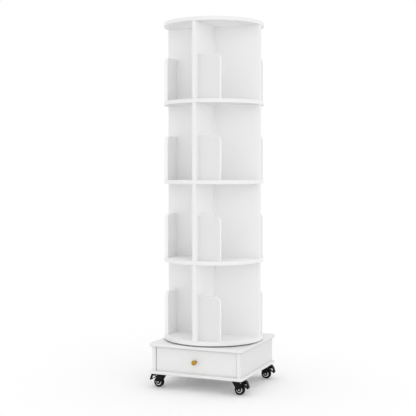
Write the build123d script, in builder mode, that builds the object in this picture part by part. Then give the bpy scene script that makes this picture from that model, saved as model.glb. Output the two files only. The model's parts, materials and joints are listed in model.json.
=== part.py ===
from build123d import *
import os

os.makedirs("parts", exist_ok=True)

# Revolving bookcase on a rolling base, in millimetres.
# The origin is on the column's spin axis at floor level, +Z is up and the drawer faces -Y.

# Column: round boards, a cross of dividers in each tier, and half-height book stops
shelf_diameter = 404.0
shelf_thickness = 15.0
board_chamfer = 0.8  # on every edge that a hand can meet
tier_count = 4
tier_clear_height = 300.0
divider_thickness = 15.0
divider_setback = 1.0  # from the rim to a divider's end
stop_thickness = 15.0
stop_height = 176.0
stop_setback = 26.0  # from the rim to a stop's outer face
stop_corner_margin = 0.5  # from the rim to the foot of a stop's outer edge
stop_corner_radius = 25.0

# Turntable between base and column: two concentric rings with balls between them
turntable_diameter = 300.0
ring_width = 13.0
ring_height = 7.0
ring_running_gap = 1.0  # under the turning ring, and over the fixed one
race_gap = 4.0  # between the two rings
turntable_recess = 3.0  # of the rings into the base's top board
turntable_pocket_play = 0.5
ball_diameter = 6.0
ball_count = 12
ball_clearance = 0.3

# Base carcass
base_width = 400.0
base_bottom_thickness = 12.0
base_bottom_edge_radius = 5.0
base_top_thickness = 15.0
base_top_edge_radius = 6.5
base_corner_radius = 15.0
base_overhang = 12.0  # of the boards past the panels
base_clear_height = 96.0  # between the boards
panel_thickness = 15.0

# Drawer
drawer_gap = 1.4  # round the inset front
drawer_recess = 4.0  # of the front behind the panels' edges
drawer_front_thickness = 15.0
drawer_front_edge = 1.2
drawer_side_thickness = 12.0
drawer_lift = 9.0  # of the box above the base's bottom board
drawer_headroom = 17.0  # between the box and the base's top board
drawer_back_gap = 17.0  # between the box and the back panel
drawer_bottom_thickness = 4.0
drawer_bottom_lift = 8.0  # of the bottom above the sides' lower edge
groove_depth = 5.0
groove_play = 0.1
knob_diameter = 20.0
knob_length = 28.0
knob_collar_diameter = 12.0
knob_collar_height = 2.0
knob_collar_slope = 1.5
knob_neck_diameter = 8.0

# Drawer runners: two channels of each pair, one nested in the other
runner_space = 12.7  # between the panel and the drawer's side
runner_front_setback = 4.0  # behind the drawer front
runner_back_setback = 21.0  # before the box's back end
runner_height = 35.0
runner_sheet = 1.2
runner_outer_flange = 9.5
runner_inner_flange = 9.7
runner_play = 0.3

# Casters
caster_height = 59.0
caster_side_inset = 41.0  # from the base board's side edge to the king pin
caster_front_inset = 46.0  # from its front or back edge
caster_trail = 15.0  # from the king pin out to the axle
wheel_diameter = 40.0
wheel_width = 18.0
tyre_shoulder = 2.5
hub_diameter = 25.0
hub_face_inset = 1.0
hub_boss_diameter = 10.0
axle_diameter = 6.0
axle_head_diameter = 9.0
axle_head_height = 1.5
running_clearance = 0.08
wheel_side_gap = 0.6  # from the wheel to a fork cheek
hub_side_gap = 0.3  # from the hub's boss to a fork cheek
plate_width = 44.0
plate_thickness = 2.0
plate_corner_radius = 6.0
plate_hole_diameter = 4.5
plate_hole_spacing = 32.0
race_boss_diameter = 28.0
race_boss_height = 2.5
swivel_gap = 0.3
king_pin_diameter = 6.0
king_pin_head_diameter = 11.0
king_pin_head_height = 1.8
rivet_clearance = 0.05
fork_sheet = 1.8
fork_crown_radius = 17.0
fork_cheek_back = 14.0  # of the cheek's top, inboard of the king pin
fork_cheek_front = 26.0  # of the cheek's top, outboard of the king pin
fork_cheek_band = 4.0  # straight height at the cheek's top
fork_eye_radius = 7.5

# Brake pedal: a bent loop that pivots between the cheeks
brake_width = 18.0
brake_pivot_x = 22.0  # outboard of the king pin
brake_pivot_z = 48.0
brake_pivot_diameter = 5.0
brake_eye_radius = 3.6
pedal_band = 3.0  # thickness of the loop's wall
pedal_bend_radius = 2.0
pedal_corners = [  # outboard of the pivot, and above it
    (-1.5, 3.5),
    (5.4, 3.7),
    (9.5, 9.4),
    (17.5, 9.4),
    (25.0, -0.5),
    (31.0, -17.5),
    (28.0, -24.0),
    (22.5, -18.5),
    (10.6, -13.4),
    (0.5, -4.2),
]

# Levels, from the floor up
carcass_floor = caster_height + base_bottom_thickness
carcass_ceiling = carcass_floor + base_clear_height
base_top = carcass_ceiling + base_top_thickness
ring_seat = base_top - turntable_recess
column_foot = ring_seat + ring_height + ring_running_gap
tier_pitch = tier_clear_height + shelf_thickness
shelf_radius = shelf_diameter / 2

# Carcass outlines
panel_face = base_width / 2 - base_overhang  # from the axis to a panel's outer face
opening_half_width = panel_face - panel_thickness
drawer_face = panel_face - drawer_recess  # from the axis to the drawer front's face
drawer_box_front = drawer_face - drawer_front_thickness
drawer_side_outside = opening_half_width - runner_space
drawer_side_inside = drawer_side_outside - drawer_side_thickness
drawer_box_back = panel_face - panel_thickness - drawer_back_gap
drawer_length = drawer_box_front + drawer_box_back
drawer_box_floor = carcass_floor + drawer_lift
drawer_box_top = carcass_ceiling - drawer_headroom
drawer_bottom_level = drawer_box_floor + drawer_bottom_lift
drawer_middle = carcass_floor + base_clear_height / 2


def write(part, name):
    part.label = name
    export_step(part, f"parts/{name}.step")


# Round boards of the column
board_names = ["column_floor", "lower_shelf", "middle_shelf", "upper_shelf", "top_board"]
for level, name in enumerate(board_names):
    with BuildPart() as round_board:
        with BuildSketch(Plane.XY.offset(column_foot + level * tier_pitch)):
            Circle(shelf_radius)
        extrude(amount=shelf_thickness)
        chamfer(round_board.edges().filter_by(GeomType.CIRCLE), board_chamfer)
    write(round_board.part, name)

# Dividers and book stops, tier by tier
divider_end = shelf_radius - divider_setback
stop_outside = shelf_radius - stop_setback
stop_end = ((shelf_radius - stop_corner_margin) ** 2 - stop_outside**2) ** 0.5
stop_length = stop_end - divider_thickness / 2
for tier in range(tier_count):
    tier_floor = column_foot + shelf_thickness + tier * tier_pitch

    with BuildPart() as long_divider:
        with BuildSketch(Plane.XY.offset(tier_floor)):
            Rectangle(2 * divider_end, divider_thickness)
        extrude(amount=tier_clear_height)
        chamfer(long_divider.edges().filter_by(Axis.Z), board_chamfer)
    write(long_divider.part, f"long_divider_{tier + 1}")

    with BuildPart() as half_dividers:
        with BuildSketch(Plane.XY.offset(tier_floor)):
            with PolarLocations((divider_thickness / 2 + divider_end) / 2, 2, start_angle=90):
                Rectangle(divider_end - divider_thickness / 2, divider_thickness)
        extrude(amount=tier_clear_height)
        ends = half_dividers.faces().group_by(Axis.Y)
        chamfer((ends[0] + ends[-1]).edges().filter_by(Axis.Z), board_chamfer)
    write(half_dividers.part, f"half_dividers_{tier + 1}")

    # Each stop stands behind the end of one divider and reaches anticlockwise, seen from above
    with BuildPart() as book_stops:
        for quarter in range(4):
            facing = Plane.XY.offset(tier_floor).rotated((0, 0, 90 * quarter))
            outer_face = Plane(
                origin=facing.from_local_coords((divider_thickness / 2, -stop_outside, 0)),
                x_dir=facing.x_dir,
                z_dir=-facing.y_dir,
            )
            with BuildSketch(outer_face):
                outline = Rectangle(stop_length, stop_height, align=(Align.MIN, Align.MIN))
                top_corners = outline.vertices().group_by(Axis.Y)[-1]
                fillet(top_corners.sort_by(Axis.X)[-1], stop_corner_radius)
            extrude(amount=-stop_thickness)
            broad_faces = book_stops.faces(Select.LAST).sort_by(SortBy.AREA)[-2:]
            chamfer(broad_faces.edges(), board_chamfer)
    write(book_stops.part, f"book_stops_{tier + 1}")

# Turntable
ball_circle_radius = turntable_diameter / 2 - ring_width - race_gap / 2
ball_level = ring_seat + (ring_height + ring_running_gap) / 2
ring_offset = (race_gap + ring_width) / 2  # from the ball circle to the middle of a ring
for name, ring_radius, foot in (
    ("turntable_outer_ring", ball_circle_radius + ring_offset, ring_seat),
    ("turntable_inner_ring", ball_circle_radius - ring_offset, ring_seat + ring_running_gap),
):
    with BuildPart() as ring:
        with BuildSketch(Plane.XZ):
            with Locations((ring_radius, foot)):
                Rectangle(ring_width, ring_height, align=(Align.CENTER, Align.MIN))
            with Locations((ball_circle_radius, ball_level)):
                Circle(ball_diameter / 2 + ball_clearance, mode=Mode.SUBTRACT)
        revolve(axis=Axis.Z)
    write(ring.part, name)

with BuildPart() as turntable_balls:
    with Locations((0, 0, ball_level)):
        with PolarLocations(ball_circle_radius, ball_count):
            Sphere(ball_diameter / 2)
write(turntable_balls.part, "turntable_balls")

# Base boards, with rounded corners and rounded edges
with BuildPart() as base_bottom_board:
    with BuildSketch(Plane.XY.offset(caster_height)):
        RectangleRounded(base_width, base_width, base_corner_radius)
    extrude(amount=base_bottom_thickness)
    fillet(base_bottom_board.faces().filter_by(Axis.Z).edges(), base_bottom_edge_radius)
write(base_bottom_board.part, "base_bottom_board")

# The top board has a round pocket that the turntable sits in
with BuildPart() as base_top_board:
    with BuildSketch(Plane.XY.offset(carcass_ceiling)):
        RectangleRounded(base_width, base_width, base_corner_radius)
    extrude(amount=base_top_thickness)
    fillet(base_top_board.faces().filter_by(Axis.Z).edges(), base_top_edge_radius)
    with BuildSketch(Plane.XY.offset(base_top)):
        Circle(turntable_diameter / 2 + turntable_pocket_play)
    extrude(amount=-turntable_recess, mode=Mode.SUBTRACT)
write(base_top_board.part, "base_top_board")

# Carcass panels
for name, side in {"base_left_side": -1, "base_right_side": 1}.items():
    with BuildPart() as side_panel:
        with BuildSketch(Plane.XY.offset(carcass_floor)):
            with Locations((side * (panel_face - panel_thickness / 2), 0)):
                Rectangle(panel_thickness, 2 * panel_face)
        extrude(amount=base_clear_height)
        chamfer(side_panel.edges().filter_by(Axis.Z), board_chamfer)
    write(side_panel.part, name)

with BuildPart() as back_panel:
    with BuildSketch(Plane.XY.offset(carcass_floor)):
        with Locations((0, panel_face - panel_thickness / 2)):
            Rectangle(2 * opening_half_width, panel_thickness)
    extrude(amount=base_clear_height)
write(back_panel.part, "base_back_panel")

# Drawer front, with a groove behind for the bottom
with BuildPart() as drawer_front:
    with BuildSketch(Plane.XZ.offset(drawer_face)):
        with Locations((0, drawer_middle)):
            Rectangle(2 * (opening_half_width - drawer_gap), base_clear_height - 2 * drawer_gap)
    extrude(amount=-drawer_front_thickness)
    chamfer(drawer_front.faces().sort_by(Axis.Y)[0].edges(), drawer_front_edge)
    with BuildSketch(Plane.XZ.offset(drawer_box_front)):
        with Locations((0, drawer_bottom_level + drawer_bottom_thickness / 2)):
            Rectangle(2 * (drawer_side_inside + groove_depth), drawer_bottom_thickness + 2 * groove_play)
    extrude(amount=groove_depth, mode=Mode.SUBTRACT)
write(drawer_front.part, "drawer_front")

# Drawer sides, grooved inside for the bottom
for name, side in {"drawer_left_side": -1, "drawer_right_side": 1}.items():
    with BuildPart() as drawer_side:
        with BuildSketch(Plane.XZ.offset(drawer_box_front)):
            with Locations((side * (drawer_side_inside + drawer_side_thickness / 2), drawer_box_floor)):
                Rectangle(
                    drawer_side_thickness, drawer_box_top - drawer_box_floor, align=(Align.CENTER, Align.MIN)
                )
            with Locations((side * drawer_side_inside, drawer_bottom_level - groove_play)):
                Rectangle(
                    2 * groove_depth,
                    drawer_bottom_thickness + 2 * groove_play,
                    align=(Align.CENTER, Align.MIN),
                    mode=Mode.SUBTRACT,
                )
        extrude(amount=-drawer_length)
        chamfer(drawer_side.faces().sort_by(Axis.Z)[-1].edges().filter_by(Axis.Y), board_chamfer)
    write(drawer_side.part, name)

with BuildPart() as drawer_back:
    with BuildSketch(Plane.XY.offset(drawer_bottom_level + drawer_bottom_thickness)):
        with Locations((0, drawer_box_back)):
            Rectangle(2 * drawer_side_inside, drawer_side_thickness, align=(Align.CENTER, Align.MAX))
    extrude(amount=drawer_box_top - drawer_bottom_level - drawer_bottom_thickness)
write(drawer_back.part, "drawer_back")

with BuildPart() as drawer_bottom:
    with BuildSketch(Plane.XY.offset(drawer_bottom_level)):
        with Locations((0, groove_play - drawer_box_front - groove_depth)):
            Rectangle(
                2 * (drawer_side_inside + groove_depth - groove_play),
                drawer_length + groove_depth - groove_play,
                align=(Align.CENTER, Align.MIN),
            )
    extrude(amount=drawer_bottom_thickness)
write(drawer_bottom.part, "drawer_bottom")

# Ball knob on a collar, turned about its own axis
knob_seat = Plane(origin=(0, -drawer_face, drawer_middle), x_dir=(1, 0, 0), z_dir=(0, 0, 1))
ball_centre = knob_diameter / 2 - knob_length
with BuildPart() as drawer_knob:
    with BuildSketch(knob_seat):
        with BuildLine():
            Polyline(
                (0, ball_centre),
                (0, 0),
                (knob_collar_diameter / 2, 0),
                (knob_collar_diameter / 2, -knob_collar_height),
                (knob_neck_diameter / 2, -knob_collar_height - knob_collar_slope),
                (knob_neck_diameter / 2, ball_centre),
                close=True,
            )
        make_face()
        with Locations((0, ball_centre)):
            Circle(knob_diameter / 2)
            Rectangle(knob_diameter, knob_diameter, align=(Align.MAX, Align.CENTER), mode=Mode.SUBTRACT)
    revolve(axis=Axis(knob_seat.origin, (0, 1, 0)))
write(drawer_knob.part, "drawer_knob")

# Drawer runners: each pair has a channel on the carcass and one on the drawer, nested
runner_middle = (drawer_box_floor + drawer_box_top) / 2
runner_front = drawer_box_front - runner_front_setback
runner_length = drawer_length - runner_front_setback - runner_back_setback
inner_runner_height = runner_height - 2 * runner_sheet - 2 * runner_play


def channel(web_x, towards, flange, height):
    """Outline of a channel whose web's back lies at web_x and whose flanges point towards +X or -X."""
    from_web = (Align.MIN if towards > 0 else Align.MAX, Align.CENTER)
    with Locations((web_x, runner_middle)):
        Rectangle(flange, height, align=from_web)
    with Locations((web_x + towards * runner_sheet, runner_middle)):
        Rectangle(flange, height - 2 * runner_sheet, align=from_web, mode=Mode.SUBTRACT)


with BuildPart() as outer_runners:
    with BuildSketch(Plane.XZ.offset(runner_front)):
        for side in (-1, 1):
            channel(side * opening_half_width, -side, runner_outer_flange, runner_height)
    extrude(amount=-runner_length)
write(outer_runners.part, "outer_drawer_runners")

with BuildPart() as inner_runners:
    with BuildSketch(Plane.XZ.offset(runner_front)):
        for side in (-1, 1):
            channel(side * drawer_side_outside, side, runner_inner_flange, inner_runner_height)
    extrude(amount=-runner_length)
write(inner_runners.part, "inner_drawer_runners")

# Casters. Each is built on its own frame: origin at the king pin on the floor, +X outboard
caster_pin_x = base_width / 2 - caster_side_inset
caster_pin_y = base_width / 2 - caster_front_inset
caster_frames = {
    "front_left": Plane(origin=(-caster_pin_x, -caster_pin_y, 0), x_dir=(-1, 0, 0), z_dir=(0, 0, 1)),
    "front_right": Plane(origin=(caster_pin_x, -caster_pin_y, 0), x_dir=(1, 0, 0), z_dir=(0, 0, 1)),
    "back_right": Plane(origin=(caster_pin_x, caster_pin_y, 0), x_dir=(1, 0, 0), z_dir=(0, 0, 1)),
    "back_left": Plane(origin=(-caster_pin_x, caster_pin_y, 0), x_dir=(-1, 0, 0), z_dir=(0, 0, 1)),
}
axle_level = wheel_diameter / 2
cheek_inside = wheel_width / 2 + wheel_side_gap
cheek_outside = cheek_inside + fork_sheet
cheek_length = fork_cheek_back + fork_cheek_front
cheek_middle = (fork_cheek_front - fork_cheek_back) / 2
plate_level = caster_height - plate_thickness
fork_top = plate_level - race_boss_height - swivel_gap


def side_plane(frame, distance):
    """The caster's upright plane, seen from its own -Y side and moved towards that side."""
    return Plane(
        origin=frame.from_local_coords((0, -distance, 0)), x_dir=frame.x_dir, z_dir=-frame.y_dir
    )


def level_plane(frame, height):
    return Plane(origin=frame.from_local_coords((0, 0, height)), x_dir=frame.x_dir, z_dir=frame.z_dir)


for corner, frame in caster_frames.items():
    with BuildPart() as caster_plate:
        with BuildSketch(level_plane(frame, plate_level)):
            RectangleRounded(plate_width, plate_width, plate_corner_radius)
        extrude(amount=plate_thickness)
        with BuildSketch(level_plane(frame, plate_level)):
            Circle(race_boss_diameter / 2)
        extrude(amount=-race_boss_height)
        with BuildSketch(level_plane(frame, caster_height)):
            Circle(king_pin_diameter / 2 + rivet_clearance)
            with GridLocations(plate_hole_spacing, plate_hole_spacing, 2, 2):
                Circle(plate_hole_diameter / 2)
        extrude(amount=-(plate_thickness + race_boss_height), mode=Mode.SUBTRACT)
    write(caster_plate.part, f"caster_plate_{corner}")

    with BuildPart() as caster_fork:
        for cheek_face in (cheek_outside, -cheek_inside):
            with BuildSketch(side_plane(frame, cheek_face)):
                with Locations((caster_trail, axle_level)):
                    Circle(fork_eye_radius)
                with Locations((cheek_middle, fork_top)):
                    Rectangle(cheek_length, fork_cheek_band, align=(Align.CENTER, Align.MAX))
                make_hull()
            extrude(amount=-fork_sheet)
        with BuildSketch(level_plane(frame, fork_top)):
            Circle(fork_crown_radius)
            with Locations((cheek_middle, 0)):
                Rectangle(cheek_length, 2 * cheek_outside)
            Circle(king_pin_diameter / 2 + running_clearance, mode=Mode.SUBTRACT)
        extrude(amount=-fork_sheet)
        with BuildSketch(side_plane(frame, cheek_outside)):
            with Locations((caster_trail, axle_level)):
                Circle(axle_diameter / 2 + rivet_clearance)
            with Locations((brake_pivot_x, brake_pivot_z)):
                Circle(brake_pivot_diameter / 2 + running_clearance)
        extrude(amount=-2 * cheek_outside, mode=Mode.SUBTRACT)
    write(caster_fork.part, f"caster_fork_{corner}")

    with BuildPart() as caster_axle:
        with BuildSketch(side_plane(frame, cheek_outside)):
            with Locations((caster_trail, axle_level)):
                Circle(axle_diameter / 2)
        extrude(amount=-2 * cheek_outside)
        for head_seat, outward in ((cheek_outside, 1), (-cheek_outside, -1)):
            with BuildSketch(side_plane(frame, head_seat)):
                with Locations((caster_trail, axle_level)):
                    Circle(axle_head_diameter / 2)
            extrude(amount=outward * axle_head_height)
    write(caster_axle.part, f"caster_axle_{corner}")

    # Tyre and hub are turned about the axle
    wheel_axis = Axis(frame.from_local_coords((caster_trail, 0, axle_level)), frame.y_dir)
    wheel_section = Plane(origin=wheel_axis.position, x_dir=frame.x_dir, z_dir=frame.z_dir)
    with BuildPart() as caster_tyre:
        with BuildSketch(wheel_section):
            with BuildLine():
                Polyline(
                    (hub_diameter / 2, -wheel_width / 2),
                    (wheel_diameter / 2 - tyre_shoulder, -wheel_width / 2),
                    (wheel_diameter / 2, tyre_shoulder - wheel_width / 2),
                    (wheel_diameter / 2, wheel_width / 2 - tyre_shoulder),
                    (wheel_diameter / 2 - tyre_shoulder, wheel_width / 2),
                    (hub_diameter / 2, wheel_width / 2),
                    close=True,
                )
            make_face()
        revolve(axis=wheel_axis)
    write(caster_tyre.part, f"caster_tyre_{corner}")

    bore_radius = axle_diameter / 2 + running_clearance
    boss_end = cheek_inside - hub_side_gap
    hub_face = wheel_width / 2 - hub_face_inset
    with BuildPart() as caster_hub:
        with BuildSketch(wheel_section):
            with BuildLine():
                Polyline(
                    (bore_radius, -boss_end),
                    (hub_boss_diameter / 2, -boss_end),
                    (hub_boss_diameter / 2, -hub_face),
                    (hub_diameter / 2, -hub_face),
                    (hub_diameter / 2, hub_face),
                    (hub_boss_diameter / 2, hub_face),
                    (hub_boss_diameter / 2, boss_end),
                    (bore_radius, boss_end),
                    close=True,
                )
            make_face()
        revolve(axis=wheel_axis)
    write(caster_hub.part, f"caster_hub_{corner}")

    # Brake pedal: an open loop from the pivot eye out and down to the pad, with a stub into each cheek
    with BuildPart() as caster_brake:
        with BuildSketch(side_plane(frame, brake_width / 2)):
            with BuildLine():
                FilletPolyline(
                    *[(brake_pivot_x + out, brake_pivot_z + up) for out, up in pedal_corners],
                    radius=pedal_bend_radius,
                    close=True,
                )
            make_face()
            offset(amount=-pedal_band, mode=Mode.SUBTRACT)
            with Locations((brake_pivot_x, brake_pivot_z)):
                Circle(brake_eye_radius)
        extrude(amount=-brake_width)
        with BuildSketch(side_plane(frame, cheek_outside)):
            with Locations((brake_pivot_x, brake_pivot_z)):
                Circle(brake_pivot_diameter / 2)
        extrude(amount=-2 * cheek_outside)
    write(caster_brake.part, f"caster_brake_{corner}")

# King pins, one rivet to each caster
with BuildPart() as king_pins:
    for frame in caster_frames.values():
        with BuildSketch(level_plane(frame, caster_height)):
            Circle(king_pin_diameter / 2)
        extrude(amount=fork_top - fork_sheet - swivel_gap - caster_height)
        with BuildSketch(level_plane(frame, fork_top - fork_sheet - swivel_gap)):
            Circle(king_pin_head_diameter / 2)
        extrude(amount=-king_pin_head_height)
write(king_pins.part, "caster_king_pins")
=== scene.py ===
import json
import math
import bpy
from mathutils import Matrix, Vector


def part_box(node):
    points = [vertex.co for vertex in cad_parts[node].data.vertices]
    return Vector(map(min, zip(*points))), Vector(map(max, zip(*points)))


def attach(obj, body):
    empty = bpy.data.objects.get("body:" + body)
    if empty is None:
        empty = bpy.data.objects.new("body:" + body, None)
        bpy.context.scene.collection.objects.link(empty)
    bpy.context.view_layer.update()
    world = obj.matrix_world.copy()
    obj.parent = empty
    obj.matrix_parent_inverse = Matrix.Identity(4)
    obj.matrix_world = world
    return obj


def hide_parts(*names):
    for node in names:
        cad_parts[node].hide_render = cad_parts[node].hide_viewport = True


bl_info = {
    "name": "Revolving Bookcase",
    "version": (1, 1, 0),
    "blender": (4, 5, 0),
    "location": "3D View > Sidebar > Bookcase",
    "description": "Dresses a round revolving bookcase on a rolling base, over its CAD model",
    "category": "Object",
}

import bmesh
import bpy
from bpy.props import FloatProperty, FloatVectorProperty, IntProperty, PointerProperty
from mathutils import Matrix, Vector
from mathutils.geometry import convex_hull_2d

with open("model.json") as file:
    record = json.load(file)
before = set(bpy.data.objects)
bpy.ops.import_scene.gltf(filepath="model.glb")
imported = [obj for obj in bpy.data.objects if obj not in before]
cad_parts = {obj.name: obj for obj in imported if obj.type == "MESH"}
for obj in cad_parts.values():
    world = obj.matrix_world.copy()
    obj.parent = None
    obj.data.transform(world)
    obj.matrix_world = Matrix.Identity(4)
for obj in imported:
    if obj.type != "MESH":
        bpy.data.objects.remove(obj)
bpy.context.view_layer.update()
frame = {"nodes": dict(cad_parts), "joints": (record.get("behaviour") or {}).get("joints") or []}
NODES = frame["nodes"]
JOINT_AT = {joint["name"]: Vector(joint["pos_m"]) for joint in frame["joints"] if "pos_m" in joint}
MM = 0.001

CORNERS = ("front_left", "front_right", "back_right", "back_left")
TIERS = (1, 2, 3, 4)
SHELVES = ("column_floor", "lower_shelf", "middle_shelf", "upper_shelf")


def lowest(node):
    """The low corner of a CAD node's box, in millimetres."""
    return Vector(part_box(node)[0]) / MM


def highest(node):
    """The high corner of a CAD node's box, in millimetres."""
    return Vector(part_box(node)[1]) / MM


# Sizes in millimetres. Those with no number here are read from the CAD model.
SHELF_RADIUS = highest("top_board").x
FORK_SHEET = 1.8  # thickness of the steel, as in the next two
PLATE_SHEET = 2.0
RUNNER_SHEET = 1.2
EYE_RADIUS = 8.6  # of a fork cheek round its axle
AXLE_HEAD = 1.5  # height of a riveted head
PIN_AT = JOINT_AT["swivel_front_right"] / MM
AXLE_AT = JOINT_AT["wheel_roll_front_right"] / MM
BRAKE_AT = JOINT_AT["brake_front_right"] / MM
TRAIL = AXLE_AT.x - PIN_AT.x
WHEEL_RADIUS = AXLE_AT.z
WHEEL_HALF = highest("caster_tyre_front_right").y - AXLE_AT.y
HUB_RADIUS = highest("caster_hub_front_right").z - AXLE_AT.z
CHEEK_OUTSIDE = highest("caster_axle_front_right").y - AXLE_AT.y - AXLE_HEAD
CHEEK_INSIDE = CHEEK_OUTSIDE - FORK_SHEET
FORK_TOP = highest("caster_fork_front_right").z
PLATE_TOP = highest("caster_plate_front_right").z


def linear(code):
    """An sRGB hex colour as linear red, green and blue."""
    values = [int(code[i : i + 2], 16) / 255 for i in (1, 3, 5)]
    return [v / 12.92 if v <= 0.04045 else ((v + 0.055) / 1.055) ** 2.4 for v in values]


def rgba(colour, shade=1.0):
    return (*[c * shade for c in colour], 1.0)


BLACK = (0.0, 0.0, 0.0, 1.0)
WHITE = (1.0, 1.0, 1.0, 1.0)


# Materials


def add_node(tree, kind, inputs=None, **properties):
    """Adds a node. Its inputs are sockets' names or numbers, with values or outputs to link."""
    node = tree.nodes.new(kind)
    for name, value in properties.items():
        setattr(node, name, value)
    for name, value in (inputs or {}).items():
        if isinstance(value, bpy.types.NodeSocket):
            tree.links.new(value, node.inputs[name])
        else:
            node.inputs[name].default_value = value
    return node


def per_mm(size):
    """Scale of a texture whose pattern repeats about every size millimetres."""
    return 1 / (size * MM)


def grained(name, colour, grain, relief, gloss, drift=0.03, drift_size=60.0, **shading):
    """A finish whose grain gives it relief and breaks up its gloss, and whose tone drifts slowly.

    grain and drift_size are the patterns' sizes and relief the grain's height, in millimetres.
    gloss is the lowest and highest roughness. Returns the material, its tree and its shader.
    """
    material = bpy.data.materials.new(name)
    material.use_nodes = True
    tree = material.node_tree
    tree.nodes.clear()
    output = add_node(tree, "ShaderNodeOutputMaterial")
    place = add_node(tree, "ShaderNodeTexCoord").outputs["Object"]
    fine = add_node(
        tree,
        "ShaderNodeTexNoise",
        {"Vector": place, "Scale": per_mm(grain), "Detail": 3.0, "Roughness": 0.6},
    )
    slow = add_node(
        tree, "ShaderNodeTexNoise", {"Vector": place, "Scale": per_mm(drift_size), "Detail": 2.0}
    )
    tone = add_node(
        tree,
        "ShaderNodeMix",
        {0: slow.outputs["Fac"], 6: rgba(colour, 1 - drift), 7: rgba(colour)},
        data_type="RGBA",
        label="tone",
    )
    roughness = add_node(
        tree,
        "ShaderNodeMapRange",
        {
            "Value": fine.outputs["Fac"],
            "From Min": 0.3,
            "From Max": 0.7,
            "To Min": gloss[0],
            "To Max": gloss[1],
        },
        label="roughness",
    )
    bump = add_node(
        tree,
        "ShaderNodeBump",
        {"Distance": relief * MM, "Height": fine.outputs["Fac"]},
        label="relief",
    )
    shader = add_node(
        tree,
        "ShaderNodeBsdfPrincipled",
        {
            "Base Color": tone.outputs[2],
            "Roughness": roughness.outputs[0],
            "Normal": bump.outputs[0],
            **shading,
        },
    )
    tree.links.new(shader.outputs[0], output.inputs["Surface"])
    return material, tree, shader


def node_called(tree, label):
    return next(node for node in tree.nodes if node.label == label)


def distance_from_axis(tree, axis, centre=(0.0, 0.0, 0.0)):
    """Distance in metres from a line along X, Y or Z through centre, in object space."""
    place = add_node(tree, "ShaderNodeTexCoord")
    flat = [0.0 if letter == axis else 1.0 for letter in "XYZ"]
    level = add_node(
        tree,
        "ShaderNodeVectorMath",
        {0: place.outputs["Object"], 1: tuple(centre)},
        operation="SUBTRACT",
    )
    across = add_node(
        tree, "ShaderNodeVectorMath", {0: level.outputs[0], 1: tuple(flat)}, operation="MULTIPLY"
    )
    length = add_node(tree, "ShaderNodeVectorMath", {0: across.outputs[0]}, operation="LENGTH")
    return length.outputs["Value"]


def facing(tree, letter):
    """How far the surface faces along X, Y or Z, from -1 to 1, in object space."""
    place = add_node(tree, "ShaderNodeTexCoord")
    split = add_node(tree, "ShaderNodeSeparateXYZ", {0: place.outputs["Normal"]})
    return split.outputs[letter]


def melamine_board(name, colour, band_colour, thin_axis):
    """Particle board pressed with white melamine paper, its edges banded in PVC.

    The press plate leaves a fine pearl grain on the broad faces, so their gloss is broken up.
    The extruded edge bands are a shade apart and shine more evenly. The pearl is drawn at 2 mm,
    about twice its real spacing, so that it shows.
    """
    material, tree, shader = grained(
        name, colour, grain=2, relief=0.02, gloss=(0.36, 0.5), drift=0.02, drift_size=140, IOR=1.49
    )
    across = add_node(tree, "ShaderNodeMath", {0: facing(tree, thin_axis)}, operation="ABSOLUTE")
    on_face = add_node(
        tree, "ShaderNodeMapRange", {"Value": across.outputs[0], "From Min": 0.55, "From Max": 0.85}
    )
    pearl = node_called(tree, "roughness")
    gloss = add_node(
        tree, "ShaderNodeMix", {"Factor": on_face.outputs[0], "A": 0.33, "B": pearl.outputs[0]}
    )
    tree.links.new(gloss.outputs[0], shader.inputs["Roughness"])
    tone = node_called(tree, "tone")
    banded = add_node(
        tree,
        "ShaderNodeMix",
        {0: on_face.outputs[0], 6: rgba(band_colour), 7: tone.outputs[2]},
        data_type="RGBA",
        label="banded",
    )
    tree.links.new(banded.outputs[2], shader.inputs["Base Color"])
    return material, tree, shader


def divider_board_painted_light(name, colour, band_colour, thin_axis):
    """The same board as a divider. Its faces are painted greyer towards their outer part, so the
    inner corners by the axis read lighter: painted light against their shade.
    """
    material, tree, _ = melamine_board(name, colour, band_colour, thin_axis)
    radius = distance_from_axis(tree, "Z")
    # Painted light: the faces grey by up to 5 % towards the rim, so the inner corners read lighter
    reach = add_node(
        tree,
        "ShaderNodeMapRange",
        {"Value": radius, "From Min": 40 * MM, "From Max": 170 * MM, "To Max": 0.05},
    )
    banded = node_called(tree, "banded")
    greyed = add_node(
        tree,
        "ShaderNodeMix",
        {0: reach.outputs[0], 6: node_called(tree, "tone").outputs[2], 7: BLACK},
        data_type="RGBA",
    )
    tree.links.new(greyed.outputs[2], banded.inputs[7])
    return material


def round_melamine_board(name, colour, band_colour, band, painted_shade_and_dust):
    """The same board cut round. Seen from above, its edge band ends in a hairline of glue.

    Its underside is painted greyer towards the rim, by the share given: painted shade under the
    rim.
    """
    material, tree, shader = melamine_board(name, colour, band_colour, "Z")
    radius = distance_from_axis(tree, "Z")
    glue_line = add_node(
        tree,
        "ShaderNodeMath",
        {0: radius, 1: (SHELF_RADIUS - band) * MM, 2: 0.15 * MM},
        operation="COMPARE",
    )
    banded = node_called(tree, "banded")
    lined = add_node(
        tree,
        "ShaderNodeMix",
        {0: glue_line.outputs[0], 6: banded.outputs[2], 7: rgba(colour, 0.72)},
        data_type="RGBA",
    )
    # Painted shade: the underside greys towards the rim
    below = add_node(
        tree, "ShaderNodeMapRange", {"Value": facing(tree, "Z"), "From Min": -0.6, "From Max": -0.9}
    )
    reach = add_node(
        tree,
        "ShaderNodeMapRange",
        {"Value": radius, "From Min": 60 * MM, "From Max": 180 * MM, "To Max": painted_shade_and_dust},
    )
    shaded_underside = add_node(
        tree, "ShaderNodeMath", {0: below.outputs[0], 1: reach.outputs[0]}, operation="MULTIPLY"
    )
    greyed = add_node(
        tree,
        "ShaderNodeMix",
        {0: shaded_underside.outputs[0], 6: lined.outputs[2], 7: BLACK},
        data_type="RGBA",
    )
    tree.links.new(greyed.outputs[2], shader.inputs["Base Color"])
    return material


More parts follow.
